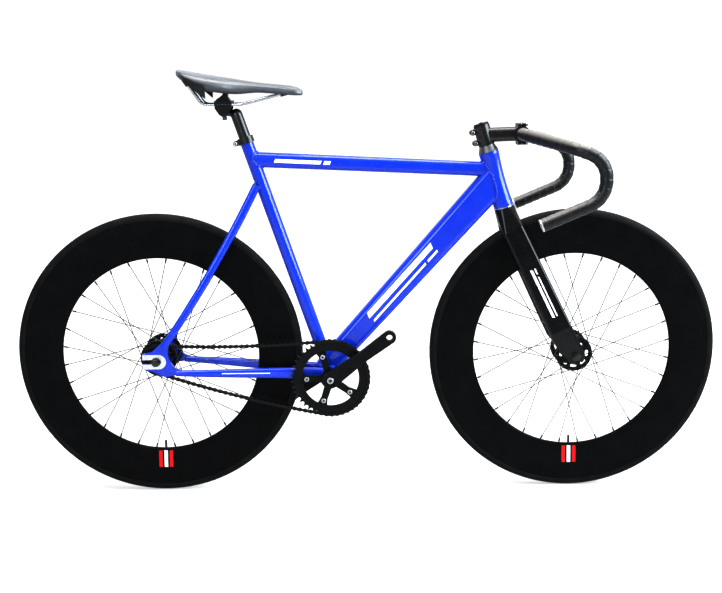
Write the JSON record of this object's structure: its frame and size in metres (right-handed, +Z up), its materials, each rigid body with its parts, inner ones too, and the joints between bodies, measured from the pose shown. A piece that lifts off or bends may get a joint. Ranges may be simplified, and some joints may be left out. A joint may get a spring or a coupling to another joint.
{
  "type": "fixed gear bike",
  "caption": "Fixed gear bike with a diamond frame, drop bar, deep section rims, single speed chain drive, track ends and a slim saddle, without brakes or pedals.",
  "frame": {"origin": "on the ground, midway between the two axles, in the middle plane", "axes": "+X forwards, +Y to the rider's left, +Z up; the chain is on the -Y side"},
  "size_m": [1.6331, 0.428, 0.99],
  "materials": {
    "frame_paint": "gloss blue paint on aluminium tube",
    "silver_alloy": "bright machined",
    "black_alloy": "black anodised or painted",
    "bright_steel": "bright",
    "dark_steel": "blackened",
    "rim_composite": "black composite, satin",
    "tyre_rubber": "matt slick",
    "tube_rubber": "matt",
    "tape": "dark grey wrapped tape",
    "plug_plastic": "silver-grey",
    "saddle_leather": "smooth black cover",
    "saddle_plastic": "satin"
  },
  "bodies": {
    "frame": {"head_tube": "frame_paint", "top_tube": "frame_paint", "down_tube": "frame_paint", "seat_tube": "frame_paint", "bb_shell": "frame_paint", "chainstay_right": "frame_paint", "chainstay_left": "frame_paint", "seatstay_right": "frame_paint", "seatstay_left": "frame_paint", "dropouts": "frame_paint", "dropout_plates": "silver_alloy", "headset_bearings": "bright_steel", "seat_collar": "black_alloy", "seat_collar_bolt": "dark_steel", "bb_cups": "black_alloy", "bb_bearings": "bright_steel", "chain": "dark_steel", "rear_axle": "dark_steel", "rear_axle_nuts": "dark_steel"},
    "crankset": {"bb_spindle": "bright_steel", "right_crank": "black_alloy", "chainring": "black_alloy", "chainring_bolts": "silver_alloy", "left_crank": "black_alloy", "crank_bolts": "bright_steel"},
    "rear_wheel": {"rear_tyre": "tyre_rubber", "rear_inner_tube": "tube_rubber", "rear_rim": "rim_composite", "rear_spokes": "bright_steel", "rear_hub_shell": "black_alloy", "rear_hub_bearings": "bright_steel", "cog": "dark_steel", "lockring": "dark_steel"},
    "front_end": {"steerer_tube": "black_alloy", "fork_crown": "black_alloy", "fork_blade_right": "black_alloy", "fork_blade_left": "black_alloy", "crown_race": "bright_steel", "headset_top_cover": "silver_alloy", "stem": "black_alloy", "stem_faceplate": "black_alloy", "stem_bolts": "dark_steel", "stem_top_cap": "black_alloy", "front_axle": "dark_steel", "front_axle_nuts": "dark_steel"},
    "handlebar": {"handlebar": "black_alloy", "bar_tape": "tape", "bar_end_plugs": "plug_plastic"},
    "front_wheel": {"front_tyre": "tyre_rubber", "front_inner_tube": "tube_rubber", "front_rim": "rim_composite", "front_spokes": "bright_steel", "front_hub_shell": "black_alloy", "front_hub_bearings": "bright_steel"},
    "seatpost": {"seatpost": "black_alloy"},
    "saddle_clamp": {"saddle_clamp": "black_alloy", "saddle_clamp_bolt": "dark_steel"},
    "saddle": {"saddle_rails": "dark_steel", "saddle_shell": "saddle_plastic", "saddle_cover": "saddle_leather"}
  },
  "joints": [
    {"name": "steering", "type": "hinge", "parent": "frame", "child": "front_end", "pos_m": [0.31867, 0, 0.67538], "axis": [-0.279, 0, 0.9603], "range_deg": [-80, 80]},
    {"name": "front_wheel_spin", "type": "hinge", "parent": "front_end", "child": "front_wheel", "pos_m": [0.4826, 0, 0.334], "axis": [0, 1, 0], "continuous": true},
    {"name": "rear_wheel_spin", "type": "hinge", "parent": "frame", "child": "rear_wheel", "pos_m": [-0.4826, 0, 0.334], "axis": [0, 1, 0], "continuous": true, "deforming": ["chain"]},
    {"name": "crank_spin", "type": "hinge", "parent": "frame", "child": "crankset", "pos_m": [-0.08363, 0, 0.284], "axis": [0, 1, 0], "continuous": true},
    {"name": "handlebar_roll", "type": "hinge", "parent": "front_end", "child": "handlebar", "pos_m": [0.35474, 0, 0.8389], "axis": [0, 1, 0], "range_deg": [-8, 8]},
    {"name": "seatpost_height", "type": "slide", "parent": "frame", "child": "seatpost", "axis": [-0.3156, 0, 0.9489], "range_m": [-0.035, 0.07]},
    {"name": "saddle_tilt", "type": "hinge", "parent": "seatpost", "child": "saddle_clamp", "pos_m": [-0.31201, 0, 0.89538], "axis": [0, 1, 0], "range_deg": [-10, 10]},
    {"name": "saddle_slide", "type": "slide", "parent": "saddle_clamp", "child": "saddle", "axis": [1, 0, 0], "range_m": [-0.012, 0.012]}
  ],
  "couplings": [
    {"joint": "crank_spin", "follows": "rear_wheel_spin", "ratio": 0.36364}
  ]
}
